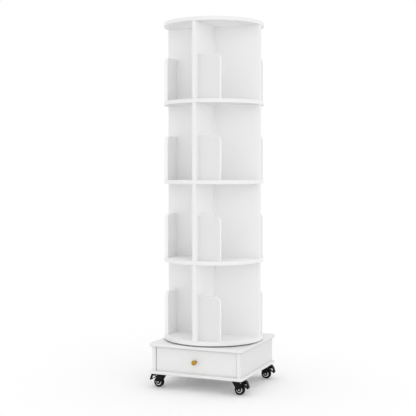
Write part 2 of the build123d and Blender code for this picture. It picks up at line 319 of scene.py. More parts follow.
def sprayed_mdf(name, colour):
    """MDF, routed round at its edges and sprayed with satin lacquer.

    The lacquer levels to long, shallow ripples, so its sheen is softer and wavier than melamine.
    """
    return grained(
        name, colour, grain=7, relief=0.03, gloss=(0.34, 0.42), drift=0.015, drift_size=90, IOR=1.5
    )


def sprayed_board(name, colour, painted_shade_below, painted_shade_beside):
    """The same lacquer on the base's boards, with painted shade below and on the edges at the
    sides.

    There its colour is painted greyer by those shares.
    """
    material, tree, shader = sprayed_mdf(name, colour)
    below = add_node(
        tree,
        "ShaderNodeMapRange",
        {"Value": facing(tree, "Z"), "From Min": -0.2, "From Max": -0.7, "To Max": painted_shade_below},
    )
    sideways = add_node(tree, "ShaderNodeMath", {0: facing(tree, "X")}, operation="ABSOLUTE")
    beside = add_node(
        tree,
        "ShaderNodeMapRange",
        {"Value": sideways.outputs[0], "From Min": 0.5, "From Max": 0.9, "To Max": painted_shade_beside},
    )
    # Painted shade: greyer below and on the sides
    painted_shade_share = add_node(
        tree, "ShaderNodeMath", {0: below.outputs[0], 1: beside.outputs[0]}, operation="ADD"
    )
    greyed = add_node(
        tree,
        "ShaderNodeMix",
        {0: painted_shade_share.outputs[0], 6: node_called(tree, "tone").outputs[2], 7: BLACK},
        data_type="RGBA",
    )
    tree.links.new(greyed.outputs[2], shader.inputs["Base Color"])
    return material


def lacquered_stop_painted_light(name, colour, painted_light_colour):
    """The same lacquer on the book stops, with painted shade on their outer faces and painted light
    on their edges and backs.
    """
    material, tree, shader = sprayed_mdf(name, colour)
    place = add_node(tree, "ShaderNodeTexCoord")
    level = add_node(
        tree,
        "ShaderNodeVectorMath",
        {0: place.outputs["Object"], 1: (1.0, 1.0, 0.0)},
        operation="MULTIPLY",
    )
    outward = add_node(
        tree,
        "ShaderNodeVectorMath",
        {0: level.outputs[0], 1: place.outputs["Normal"]},
        operation="DOT_PRODUCT",
    )
    # Painted shade on the outer faces, painted light on the edges and backs
    on_face = add_node(
        tree,
        "ShaderNodeMapRange",
        {"Value": outward.outputs["Value"], "From Min": 125 * MM, "From Max": 150 * MM},
    )
    edged = add_node(
        tree,
        "ShaderNodeMix",
        {0: on_face.outputs[0], 6: rgba(painted_light_colour), 7: node_called(tree, "tone").outputs[2]},
        data_type="RGBA",
    )
    tree.links.new(edged.outputs[2], shader.inputs["Base Color"])
    return material


def foiled_board(name, colour):
    """Thin board wrapped in matt white foil, as drawer boxes are. It looks flat and dry."""
    return grained(name, colour, grain=1.2, relief=0.015, gloss=(0.55, 0.66), IOR=1.46)[0]


def polished_brass(name, colour, centre):
    """Brass turned on a lathe, polished and lacquered.

    The turning leaves rings about the knob's own axis that draw its highlight out a little. The
    collar and the neck are painted browner: tarnish where the polishing wheel doesn't reach, and
    painted shade that keeps the lit collar dark.
    """
    gloss = (0.15, 0.24)
    material, tree, shader = grained(
        name, colour, grain=0.8, relief=0.004, gloss=gloss, drift=0.06, drift_size=6, Metallic=1.0
    )
    place = add_node(tree, "ShaderNodeTexCoord")
    along = add_node(tree, "ShaderNodeSeparateXYZ", {0: place.outputs["Object"]})
    # Tarnish and painted shade: the collar and neck at half tone
    near, far = centre[1] - 6 * MM, centre[1] - 12 * MM
    tarnish_and_shade = add_node(
        tree, "ShaderNodeMapRange", {"Value": along.outputs["Y"], "From Min": near, "From Max": far}
    )
    worked = add_node(
        tree,
        "ShaderNodeMix",
        {0: tarnish_and_shade.outputs[0], 6: rgba(colour, 0.5), 7: node_called(tree, "tone").outputs[2]},
        data_type="RGBA",
    )
    tree.links.new(worked.outputs[2], shader.inputs["Base Color"])
    radius = distance_from_axis(tree, "Y", centre)
    rings = add_node(
        tree,
        "ShaderNodeTexNoise",
        {"W": radius, "Scale": per_mm(0.5), "Detail": 2.0},
        noise_dimensions="1D",
    )
    lathe = add_node(
        tree,
        "ShaderNodeBump",
        {
            "Distance": 0.006 * MM,
            "Height": rings.outputs["Fac"],
            "Normal": node_called(tree, "relief").outputs[0],
        },
    )
    tree.links.new(lathe.outputs[0], shader.inputs["Normal"])
    return material


def zinc_plated_steel(name, colour):
    """Rolled steel strip, zinc plated and passivated: cloudy grey metal with a tinge of blue."""
    material, tree, _ = grained(
        name, colour, grain=1.5, relief=0.01, gloss=(0.30, 0.44), drift_size=9.0, Metallic=1.0
    )
    node_called(tree, "tone").inputs[6].default_value = rgba(linear("#A6A9AC"))
    return material


def shared_finish(name, make, colour):
    """The finish that several operators use. The first of them to run makes it."""
    return bpy.data.materials.get(name) or make(name, colour)


def zinc_finish():
    return shared_finish("zinc_plated_steel", zinc_plated_steel, linear("#BFC3C6"))


def turned_aluminium(name, colour):
    """Aluminium ring, faced on a lathe: bright, with fine rings about the spin axis."""
    material, tree, shader = grained(
        name, colour, grain=2.0, relief=0.004, gloss=(0.28, 0.38), drift=0.05, Metallic=1.0
    )
    radius = distance_from_axis(tree, "Z")
    rings = add_node(
        tree,
        "ShaderNodeTexNoise",
        {"W": radius, "Scale": per_mm(0.7), "Detail": 1.0},
        noise_dimensions="1D",
    )
    lathe = add_node(
        tree, "ShaderNodeBump", {"Distance": 0.01 * MM, "Height": rings.outputs["Fac"]}
    )
    tree.links.new(lathe.outputs[0], shader.inputs["Normal"])
    return material


def ground_bearing_steel(name, colour):
    """Hardened steel, ground and lapped to a mirror."""
    return grained(
        name, colour, grain=0.6, relief=0.001, gloss=(0.06, 0.10), drift=0.02, Metallic=1.0
    )[0]


def dipped_black_steel(name, colour):
    """Pressed steel in black electro-dip paint, as on the forks and the plates.

    The thin paint follows the sheet's faint orange peel, and gives a dull, even shine.
    """
    gloss = (0.34, 0.46)
    material, _, shader = grained(
        name, colour, grain=1.6, relief=0.012, gloss=gloss, drift=0.15, drift_size=12, IOR=1.5
    )
    shader.inputs["Specular IOR Level"].default_value = 0.16
    return material


def moulded_rubber(name, colour, dust):
    """Moulded rubber tyre: matt black from a blasted mould, with a little dust in patches."""
    material, tree, shader = grained(
        name, colour, grain=0.7, relief=0.02, gloss=(0.52, 0.7), drift=0.2, drift_size=8, IOR=1.52
    )
    place = add_node(tree, "ShaderNodeTexCoord")
    patches = add_node(
        tree,
        "ShaderNodeTexNoise",
        {"Vector": place.outputs["Object"], "Scale": per_mm(4.0), "Detail": 4.0},
    )
    painted_shade_and_dust = add_node(
        tree,
        "ShaderNodeMapRange",
        {"Value": patches.outputs["Fac"], "From Min": 0.56, "From Max": 0.78, "To Max": 0.35},
    )
    dusty = add_node(
        tree,
        "ShaderNodeMix",
        {0: painted_shade_and_dust.outputs[0], 6: node_called(tree, "tone").outputs[2], 7: rgba(dust)},
        data_type="RGBA",
    )
    tree.links.new(dusty.outputs[2], shader.inputs["Base Color"])
    shader.inputs["Specular IOR Level"].default_value = 0.1
    return material


def moulded_nylon(name, colour, grit, shine):
    """Injection-moulded nylon with a spark-eroded texture, grit millimetres from peak to peak."""
    gloss = (0.38, 0.52)
    material, _, shader = grained(
        name, colour, grain=grit, relief=0.02, gloss=gloss, drift=0.08, drift_size=15, IOR=1.53
    )
    shader.inputs["Specular IOR Level"].default_value = shine
    return material


# Meshes, in millimetres on a piece's own frame


def rounded(outline, radius, steps=4, closed=True):
    """An outline with its corners rounded. A corner's third value is its own radius."""
    points = []
    for i, corner in enumerate(outline):
        here = Vector(corner[:2])
        size = corner[2] if len(corner) > 2 else radius
        if size == 0 or (not closed and i in (0, len(outline) - 1)):
            points.append(here)
            continue
        back = Vector(outline[i - 1][:2]) - here
        on = Vector(outline[(i + 1) % len(outline)][:2]) - here
        reach = min(size / math.tan(back.angle(on) / 2), 0.49 * back.length, 0.49 * on.length)
        start = here + back.normalized() * reach
        end = here + on.normalized() * reach
        for step in range(steps + 1):
            t = step / steps
            points.append(start.lerp(here, t).lerp(here.lerp(end, t), t))
    return points


def both_sides(profile):
    """A profile given for one side of the middle, with its mirror image before it."""
    return [(-along, *rest) for along, *rest in profile] + profile[::-1]


def turn(mesh, profile, centre, axis, segments=48):
    """Adds a turned form. The profile's points are (distance along the axis, radius)."""
    axis = Vector(axis).normalized()
    spoke = axis.orthogonal().normalized()
    rings = []
    for along, radius in profile:
        count = segments if radius > 1e-6 else 1
        ring = []
        for i in range(count):
            out = Matrix.Rotation(math.tau * i / segments, 3, axis) @ spoke
            ring.append(mesh.verts.new(Vector(centre) + axis * along + out * radius))
        rings.append(ring)
    for near, far in zip(rings, rings[1:]):
        n, f = len(near), len(far)
        for i in range(segments):
            j = (i + 1) % segments
            # A ring at the axis is one point, so the faces that end there are triangles
            corners = list(dict.fromkeys((near[i % n], near[j % n], far[j % f], far[i % f])))
            if len(corners) > 2:
                mesh.faces.new(corners)


def pan_head(mesh, seat, pointing, radius, height, twist):
    """Adds a pan-head screw's head with a cross recess. It stands on seat."""
    up = Vector(pointing).normalized()
    side = Matrix.Rotation(twist, 3, up) @ up.orthogonal().normalized()
    other = up.cross(side)
    seat = Vector(seat)

    def ring(along, points):
        return [mesh.verts.new(seat + up * along + side * x + other * y) for x, y in points]

    def join(near, far):
        for i in range(len(near)):
            j = (i + 1) % len(near)
            mesh.faces.new([near[i], near[j], far[j], far[i]])

    circle = [(math.cos(math.tau * i / 24), math.sin(math.tau * i / 24)) for i in range(24)]
    dome = [(0.0, 0.97), (0.12, 1.0), (0.45, 0.98), (0.75, 0.88), (0.93, 0.72), (1.0, 0.60)]
    rings = []
    for share, width in dome:
        reach = width * radius
        rings.append(ring(share * height, [(x * reach, y * reach) for x, y in circle]))
    for near, far in zip(rings, rings[1:]):
        join(near, far)
    mesh.faces.new(rings[0])
    arm, half = 0.46, 0.11
    quarter = [(arm, -half), (arm, half), (half, half)]
    cross = []
    for c, s in ((1, 0), (0, 1), (-1, 0), (0, -1)):
        cross += [(c * x - s * y, s * x + c * y) for x, y in quarter]
    mouth = ring(height, [(x * radius, y * radius) for x, y in cross])
    pit = ring(0.35 * height, [(x * radius * 0.7, y * radius * 0.7) for x, y in cross])
    rims = []
    for loop in (rings[-1], mouth):
        for i, vert in enumerate(loop):
            following = loop[(i + 1) % len(loop)]
            edge = mesh.edges.get((vert, following)) or mesh.edges.new((vert, following))
            rims.append(edge)
    bmesh.ops.triangle_fill(mesh, edges=rims, use_beauty=True)
    join(mouth, pit)
    mesh.faces.new(pit)


def plane_at(origin, across, up):
    """A plane whose X and Y run along two square directions from a point."""
    across, up = Vector(across), Vector(up)
    axes = Matrix((across, up, across.cross(up))).transposed()
    return Matrix.Translation(origin) @ axes.to_4x4()


def prism(mesh, outline, plane, thickness):
    """Adds a flat form. The outline lies on the plane, and its thickness grows along +Z there."""
    verts = [mesh.verts.new(plane @ Vector((x, y, 0.0))) for x, y in outline]
    face = mesh.faces.new(verts)
    grown = bmesh.ops.extrude_face_region(mesh, geom=[face])
    top = [part for part in grown["geom"] if isinstance(part, bmesh.types.BMVert)]
    lift = plane.to_3x3() @ Vector((0.0, 0.0, thickness))
    bmesh.ops.translate(mesh, verts=top, vec=lift)


def add_piece(name, mesh, place, material, body, stands_for=(), crease=32.0):
    """Sets a mesh in place as a piece that rides on a body and may stand for CAD nodes."""
    bmesh.ops.remove_doubles(mesh, verts=mesh.verts, dist=1e-4)
    bmesh.ops.recalc_face_normals(mesh, faces=mesh.faces)
    data = bpy.data.meshes.new(name)
    mesh.to_mesh(data)
    mesh.free()
    data.transform(place)
    data.shade_smooth()
    data.set_sharp_from_angle(angle=math.radians(crease))
    data.materials.append(material)
    piece = bpy.data.objects.new(name, data)
    bpy.context.scene.collection.objects.link(piece)
    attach(piece, body)
    if stands_for:
        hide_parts(*stands_for)
    return piece


IN_PLACE = Matrix.Scale(MM, 4)


def caster_place(corner):
    """A caster's own frame at rest: the origin on the floor under its king pin, +X outboard."""
    turned = math.pi if "left" in corner else 0.0
    pin = JOINT_AT[f"swivel_{corner}"]
    return Matrix.Translation((pin.x, pin.y, 0.0)) @ Matrix.Rotation(turned, 4, "Z") @ IN_PLACE


def dress(names, material):
    """Gives CAD nodes their finish."""
    for name in names:
        node = NODES[name]
        node.data.materials.clear()
        node.data.materials.append(material)


def ease_edges(piece, width, sharper_than):
    """Rounds the edges of a piece that turn by more than an angle in degrees."""
    ease = piece.modifiers.new("ease", "BEVEL")
    ease.width = width * MM
    ease.segments = 2
    ease.limit_method = "ANGLE"
    ease.angle_limit = math.radians(sharper_than)
    ease.harden_normals = True


def soften(names, width):
    """Eases the sharp edges of CAD nodes, whose own vertices stay as they are."""
    for name in names:
        node = NODES[name]
        weld = node.modifiers.new("weld", "WELD")
        weld.merge_threshold = 0.002 * MM
        flatten = node.modifiers.new("flatten", "DECIMATE")
        flatten.decimate_type = "DISSOLVE"
        flatten.angle_limit = math.radians(0.5)
        ease_edges(node, width, 40)


# Sizes and colours


def colour_setting(name, description, code):
    """A colour to choose, which starts as an sRGB hex colour."""
    return FloatVectorProperty(
        name=name, description=description, subtype="COLOR", default=linear(code), min=0.0, max=1.0
    )


class BoardSettings(bpy.types.PropertyGroup):
    """Finish of the white boards"""

    white: colour_setting("Board white", "Colour of the column's melamine faces", "#FAFAFA")
    band_white: colour_setting("Edge band white", "Colour of the boards' edge bands", "#ECECEC")
    # The stops' face white is painted shade, and their edge white painted light
    stop_white: colour_setting("Book stop white", "Colour of the book stops' faces", "#E3E3E3")
    stop_edge_white: colour_setting(
        "Book stop edge white", "Colour of the book stops' edges and backs", "#F7F7F7"
    )
    side_white: colour_setting(
        "Base side white", "Colour of the faces of the base's side and back panels", "#E2E2E2"
    )
    lacquer_white: colour_setting(
        "Lacquer white", "Colour of the base's boards and the drawer front", "#EBEBEB"
    )
    band: FloatProperty(
        name="Edge band",
        description="Thickness of the round boards' edge band, in millimetres",
        default=1.0,
        min=0.2,
        max=3.0,
    )


class DrawerSettings(bpy.types.PropertyGroup):
    """Drawer box, knob and runners"""

    brass: colour_setting("Brass", "Colour of the knob", "#BB9138")
    foil: colour_setting("Drawer box foil", "Colour of the drawer box", "#E4E4E1")
    screws: IntProperty(
        name="Screws per runner",
        description="Screws in each runner channel",
        default=3,
        min=2,
        max=6,
    )


class CasterSettings(bpy.types.PropertyGroup):
    """Swivel casters"""

    paint: colour_setting("Fork paint", "Colour of the forks and plates", "#0B0B0C")
    rubber: colour_setting("Tyre rubber", "Colour of the tyres", "#090909")
    hub: colour_setting("Hub nylon", "Colour of the wheels' hubs", "#F2F2F2")
    pedal: colour_setting("Pedal nylon", "Colour of the brake pedals", "#0B0B0C")
    hub_ribs: IntProperty(
        name="Hub ribs", description="Ribs in each side of a hub", default=6, min=3, max=12
    )


class StageSettings(bpy.types.PropertyGroup):
    """Camera, floor and light"""

    azimuth: FloatProperty(
        name="Camera azimuth",
        description="Angle of the camera round the bookcase, from the front towards the right",
        subtype="ANGLE",
        default=math.radians(22.6),
    )
    distance: FloatProperty(
        name="Camera distance",
        description="Level distance from the spin axis to the camera",
        subtype="DISTANCE",
        default=3.8,
        min=1.0,
    )
    height: FloatProperty(
        name="Camera height",
        description="Height of the camera above the floor",
        subtype="DISTANCE",
        default=0.8795,
    )
    tilt: FloatProperty(
        name="Camera tilt",
        description="Angle that the camera looks down by",
        subtype="ANGLE",
        default=math.radians(2.454),
    )
    pan: FloatProperty(
        name="Camera pan",
        description="Angle that the camera looks past the spin axis by",
        subtype="ANGLE",
        default=math.radians(0.36),
    )
    lens: FloatProperty(
        name="Focal length",
        description="Focal length in millimetres on a sensor 36 mm wide",
        default=933.0 / 416 * 36,
        min=10.0,
    )
    room_light: FloatProperty(
        name="Room light",
        description="Strength of the even light from all round",
        default=0.89,
        min=0.0,
    )
    key_light: FloatProperty(
        name="Key light",
        description="Strength of the broad, low light from the front right",
        default=0.385,
        min=0.0,
    )
    top_light: FloatProperty(
        name="Overhead light",
        description="Strength of the broad light from overhead",
        default=0.28,
        min=0.0,
    )


# Operators


class BOOKCASE_OT_boards(bpy.types.Operator):
    """Finish the boards of the column and of the base"""

    bl_idname = "bookcase.boards"
    bl_label = "Boards"

    def execute(self, context):
        settings = context.scene.bookcase_boards
        white, band_white = settings.white, settings.band_white
        lacquer_white = settings.lacquer_white
        # The round boards' undersides get painted shade towards the rim, by these shares
        for names, name, painted_shade_and_dust in (
            (SHELVES, "white_melamine_shelves", 0.29),
            (["top_board"], "white_melamine_top_board", 0.19),
        ):
            dress(names, round_melamine_board(name, white, band_white, settings.band, painted_shade_and_dust))
        # The dividers' faces carry painted light in their inner corners
        for kind, thin_axis in (("long_divider", "Y"), ("half_dividers", "X")):
            finish = divider_board_painted_light(f"white_melamine_{kind}", white, band_white, thin_axis)
            dress([f"{kind}_{tier}" for tier in TIERS], finish)
        soften([f"half_dividers_{tier}" for tier in TIERS], 0.7)
        dress(
            [f"book_stops_{tier}" for tier in TIERS],
            lacquered_stop_painted_light("white_lacquered_stops", settings.stop_white, settings.stop_edge_white),
        )
        for names, name, thin_axis in (
            (["base_left_side", "base_right_side"], "white_melamine_base_sides", "X"),
            (["base_back_panel"], "white_melamine_base_back", "Y"),
        ):
            dress(names, melamine_board(name, settings.side_white, lacquer_white, thin_axis)[0])
        # The base's boards get painted shade below and at the sides, by these shares
        for board, below, beside in (
            ("base_top_board", 0.26, 0.08),
            ("base_bottom_board", 0.0, 0.05),
        ):
            finish = sprayed_board(f"white_lacquered_{board}", lacquer_white, below, beside)
            dress([board], finish)
        dress(["drawer_front"], sprayed_mdf("white_satin_lacquered_mdf", lacquer_white)[0])

        # Screws from below hold the bottom board to the side panels
        low, high = lowest("base_right_side"), highest("base_right_side")
        middle = (low.x + high.x) / 2
        under = lowest("base_bottom_board").z
        mesh = bmesh.new()
        for side in (-1, 1):
            for number, share in enumerate((0.3, 0.5, 0.7)):
                seat = (side * middle, low.y + share * (high.y - low.y), under)
                pan_head(mesh, seat, (0, 0, -1), radius=3.5, height=1.0, twist=0.6 + number * side)
        add_piece("base_carcass_screws", mesh, IN_PLACE, zinc_finish(), "base")
        return {"FINISHED"}


class BOOKCASE_OT_drawer_box(bpy.types.Operator):
    """Finish the drawer box and screw it together"""

    bl_idname = "bookcase.drawer_box"
    bl_label = "Drawer box"

    def execute(self, context):
        settings = context.scene.bookcase_drawer
        foil = foiled_board("matt_foiled_drawer_board", settings.foil)
        sides = ["drawer_left_side", "drawer_right_side"]
        dress([*sides, "drawer_back", "drawer_bottom"], foil)
        soften(["drawer_back", "drawer_bottom"], 0.5)

        zinc = zinc_finish()
        low, high = lowest("drawer_right_side"), highest("drawer_right_side")
        middle = (lowest("drawer_back").y + highest("drawer_back").y) / 2
        mesh = bmesh.new()
        for side in (-1, 1):
            for share in (0.08, 0.92):
                seat = (side * high.x, middle, low.z + share * (high.z - low.z))
                pan_head(mesh, seat, (side, 0, 0), radius=3.2, height=1.4, twist=0.7 + side * share)
        add_piece("drawer_box_screws", mesh, IN_PLACE, zinc, "drawer")

        # A white strip on the bottom board fills most of the gap under the drawer front: painted
        # light, a pale piece put where the gap would show its shade
        low, high = lowest("drawer_front"), highest("drawer_front")
        floor = highest("base_bottom_board").z
        top = floor + 0.75 * (low.z - floor)
        front, end_gap = low.y + 0.8, 2.0
        section = rounded([(front, floor, 0), (front, top), (high.y, top), (high.y, floor, 0)], 0.3)
        mesh = bmesh.new()
        end = plane_at((low.x + end_gap, 0, 0), (0, 1, 0), (0, 0, 1))
        prism(mesh, section, end, high.x - low.x - 2 * end_gap)
        pale_gap_nylon = moulded_nylon("moulded_white_nylon", linear("#F5F5F5"), grit=0.9, shine=0.4)
        add_piece("pale_gap_strip", mesh, IN_PLACE, pale_gap_nylon, "base")
        return {"FINISHED"}


class BOOKCASE_OT_knob(bpy.types.Operator):
    """Turn the brass knob, with its screw inside the drawer"""

    bl_idname = "bookcase.knob"
    bl_label = "Knob"

    def execute(self, context):
        settings = context.scene.bookcase_drawer
        low, high = lowest("drawer_knob"), highest("drawer_knob")
        seat = Vector((0.0, high.y, (low.z + high.z) / 2))
        length = high.y - low.y
        ball = (high.z - low.z) / 2
        depth = 0.86 * ball
        centre = length - depth
        # The collar has a turned bead, the neck flares into it, and the ball is a little flattened
        bead, neck = 5.5, 3.6
        collar = [
            (0.0, 0.0),
            (0.0, 5.2),
            (0.5, bead, 0.3),
            (1.4, bead, 0.4),
            (1.8, 4.8, 0.2),
            (2.2, 4.8, 0.2),
            (2.8, 4.0, 0.4),
            (3.8, neck, 1.0),
        ]
        profile = rounded(collar, 0.0, closed=False)
        turning = math.asin(neck / ball)
        for step in range(29):
            angle = turning + (math.pi - turning) * step / 28
            profile.append(Vector((centre - depth * math.cos(angle), ball * math.sin(angle))))
        profile[-1].y = 0.0
        brass = polished_brass("polished_brass", settings.brass, seat * MM)
        mesh = bmesh.new()
        turn(mesh, profile, seat, (0, -1, 0), 64)
        add_piece(
            "brass_knob", mesh, IN_PLACE, brass, "drawer", ("drawer_knob",), crease=50
        )

        zinc = zinc_finish()
        inside = highest("drawer_front").y
        mesh = bmesh.new()
        washer, thick = 5.5, 0.8
        rim = rounded([(0.0, 0.0, 0), (0.0, washer), (thick, washer), (thick, 0.0, 0)], 0.3)
        turn(mesh, rim, (0, inside, seat.z), (0, 1, 0))
        pan_head(mesh, (0, inside + thick, seat.z), (0, 1, 0), radius=4.0, height=2.0, twist=0.4)
        add_piece("knob_screw", mesh, IN_PLACE, zinc, "drawer")
        return {"FINISHED"}


class BOOKCASE_OT_runners(bpy.types.Operator):
    """Finish the drawer runners and screw them on"""

    bl_idname = "bookcase.runners"
    bl_label = "Runners"

    def execute(self, context):
        settings = context.scene.bookcase_drawer
        zinc = zinc_finish()
        runners = ["outer_drawer_runners", "inner_drawer_runners"]
        dress(runners, zinc)
        soften(runners, 0.25)
        against = highest("drawer_right_side").x
        for node, name, body, inward in (
            ("outer_drawer_runners", "carcass_runner_screws", "base", -1),
            ("inner_drawer_runners", "drawer_runner_screws", "drawer", 1),
        ):
            low, high = lowest(node), highest(node)
            web = high.x - RUNNER_SHEET if inward < 0 else against + RUNNER_SHEET
            mesh = bmesh.new()
            for side in (-1, 1):
                for screw in range(settings.screws):
                    share = (screw + 0.5) / settings.screws
                    seat = (side * web, low.y + share * (high.y - low.y), (low.z + high.z) / 2)
                    twist = 0.9 * screw + side
                    pan_head(mesh, seat, (side * inward, 0, 0), radius=3.6, height=1.8, twist=twist)
            add_piece(name, mesh, IN_PLACE, zinc, body)
        return {"FINISHED"}


class BOOKCASE_OT_turntable(bpy.types.Operator):
    """Finish the ball turntable under the column"""

    bl_idname = "bookcase.turntable"
    bl_label = "Turntable"

    def execute(self, context):
        aluminium = turned_aluminium("turned_aluminium", linear("#C6C8CA"))
        steel = ground_bearing_steel("ground_bearing_steel", linear("#D4D5D7"))
        dress(["turntable_outer_ring", "turntable_inner_ring"], aluminium)
        dress(["turntable_balls"], steel)
        return {"FINISHED"}


class BOOKCASE_OT_caster_plates(bpy.types.Operator):
    """Finish the casters' mounting plates and screw them on"""

    bl_idname = "bookcase.caster_plates"
    bl_label = "Caster plates"

    def execute(self, context):
        settings = context.scene.bookcase_casters
        paint = shared_finish("black_dipped_steel", dipped_black_steel, settings.paint)
        blackened = dipped_black_steel("black_dipped_screws", linear("#1C1C1E"))
        from_pin = 16.0
        for corner in CORNERS:
            dress([f"caster_plate_{corner}"], paint)
            mesh = bmesh.new()
            for number, (x, y) in enumerate(((-1, -1), (1, -1), (1, 1), (-1, 1))):
                seat = (x * from_pin, y * from_pin, PLATE_TOP - PLATE_SHEET)
                twist = 0.5 + 0.8 * number
                pan_head(mesh, seat, (0, 0, -1), radius=3.6, height=1.7, twist=twist)
            place = caster_place(corner)
            add_piece(f"plate_screws_{corner}", mesh, place, blackened, "base")
        return {"FINISHED"}


def fork_mesh():
    """A fork pressed from one sheet: a channel with bent shoulders, cut to its cheeks' outline."""
    half, bend, foot = CHEEK_OUTSIDE, 3.4, 8.0
    outer = [(-half, foot, 0), (-half, FORK_TOP, bend), (half, FORK_TOP, bend), (half, foot, 0)]
    under, inner_bend = FORK_TOP - FORK_SHEET, bend - FORK_SHEET
    inner = [
        (CHEEK_INSIDE, foot, 0),
        (CHEEK_INSIDE, under, inner_bend),
        (-CHEEK_INSIDE, under, inner_bend),
        (-CHEEK_INSIDE, foot, 0),
    ]
    back, front, band = -14.0, 26.0, 4.0
    channel = bmesh.new()
    end = plane_at((back, 0, 0), (0, 1, 0), (0, 0, 1))
    prism(channel, rounded(outer, 0, 6) + rounded(inner, 0, 6), end, front - back)

    # The cheeks narrow from the crown to a round eye at the axle
    points = [Vector((x, z)) for x in (back, front) for z in (FORK_TOP - band, FORK_TOP + 1)]
    for step in range(72):
        angle = math.tau * step / 72
        rim = Vector((math.cos(angle), math.sin(angle))) * EYE_RADIUS
        points.append(Vector((TRAIL, WHEEL_RADIUS)) + rim)
    hull = [points[i] for i in convex_hull_2d(points)]
    cutter = bmesh.new()
    beside = plane_at((0, half + 1, 0), (1, 0, 0), (0, 0, 1))
    prism(cutter, hull, beside, 2 * half + 2)
    return common_part(channel, cutter)


def common_part(first, second):
    """The volume that two closed meshes share, as a mesh."""
    holders = []
    for mesh in (first, second):
        bmesh.ops.recalc_face_normals(mesh, faces=mesh.faces)
        data = bpy.data.meshes.new("blank")
        mesh.to_mesh(data)
        mesh.free()
        holder = bpy.data.objects.new("blank", data)
        bpy.context.scene.collection.objects.link(holder)
        holders.append(holder)
    cut = holders[0].modifiers.new("cut", "BOOLEAN")
    cut.operation = "INTERSECT"
    cut.solver = "EXACT"
    cut.object = holders[1]
    seen = holders[0].evaluated_get(bpy.context.evaluated_depsgraph_get())
    shared = bmesh.new()
    shared.from_mesh(seen.to_mesh())
    seen.to_mesh_clear()
    for holder in holders:
        bpy.data.objects.remove(holder)
    return shared


class BOOKCASE_OT_forks(bpy.types.Operator):
    """Press the forks, with their swivel heads, rivets and axles"""

    bl_idname = "bookcase.forks"
    bl_label = "Forks"

    def execute(self, context):
        settings = context.scene.bookcase_casters
        paint = shared_finish("black_dipped_steel", dipped_black_steel, settings.paint)
        zinc = zinc_finish()
        # The axle has a domed rivet head on each side
        head = ((AXLE_HEAD, 0), (1.45, 1.2), (1.2, 2.4), (0.75, 3.2), (0.3, 3.6), (0, 3.7), (0, 3))
        axle = both_sides([(CHEEK_OUTSIDE + height, radius) for height, radius in head])
        # The swivel head is a round pressing that overhangs the cheeks
        bore, rim = 3.2, 17.0
        swivel = [(-FORK_SHEET, bore, 0), (-FORK_SHEET, rim), (0.0, rim), (0.0, bore, 0)]
        swivel = rounded(swivel, 0.8)
        for corner in CORNERS:
            place = caster_place(corner)
            body = f"caster_swivel_{corner}"
            mesh = fork_mesh()
            turn(mesh, [*swivel, swivel[0]], (0, 0, FORK_TOP), (0, 0, 1), 64)
            node = f"caster_fork_{corner}"
            name = f"pressed_fork_{corner}"
            fork = add_piece(name, mesh, place, paint, body, (node,))
            ease_edges(fork, 0.3, 50)

            mesh = bmesh.new()
            turn(mesh, axle, (TRAIL, 0, WHEEL_RADIUS), (0, 1, 0), 40)
            node = f"caster_axle_{corner}"
            add_piece(f"riveted_axle_{corner}", mesh, place, zinc, body, (node,))
        return {"FINISHED"}


class BOOKCASE_OT_king_pins(bpy.types.Operator):
    """Turn the rivets that hold the forks to their plates"""

    bl_idname = "bookcase.king_pins"
    bl_label = "King pins"

    def execute(self, context):
        zinc = zinc_finish()
        node = "caster_king_pins"
        low = lowest(node).z
        length, shank = highest(node).z - low, 3.0
        profile = [(0.0, 0.0), (0.0, 2.0), (0.25, 3.6), (0.8, 5.0), (1.35, 5.5), (1.8, 5.5)]
        profile += [(1.8, shank), (length, shank), (length, 0.0)]
        mesh = bmesh.new()
        for corner in CORNERS:
            pin = JOINT_AT[f"swivel_{corner}"] / MM
            turn(mesh, profile, (pin.x, pin.y, low), (0, 0, 1), 40)
        add_piece(
            "domed_king_pins", mesh, IN_PLACE, zinc, "base", (node,), crease=40
        )
        return {"FINISHED"}


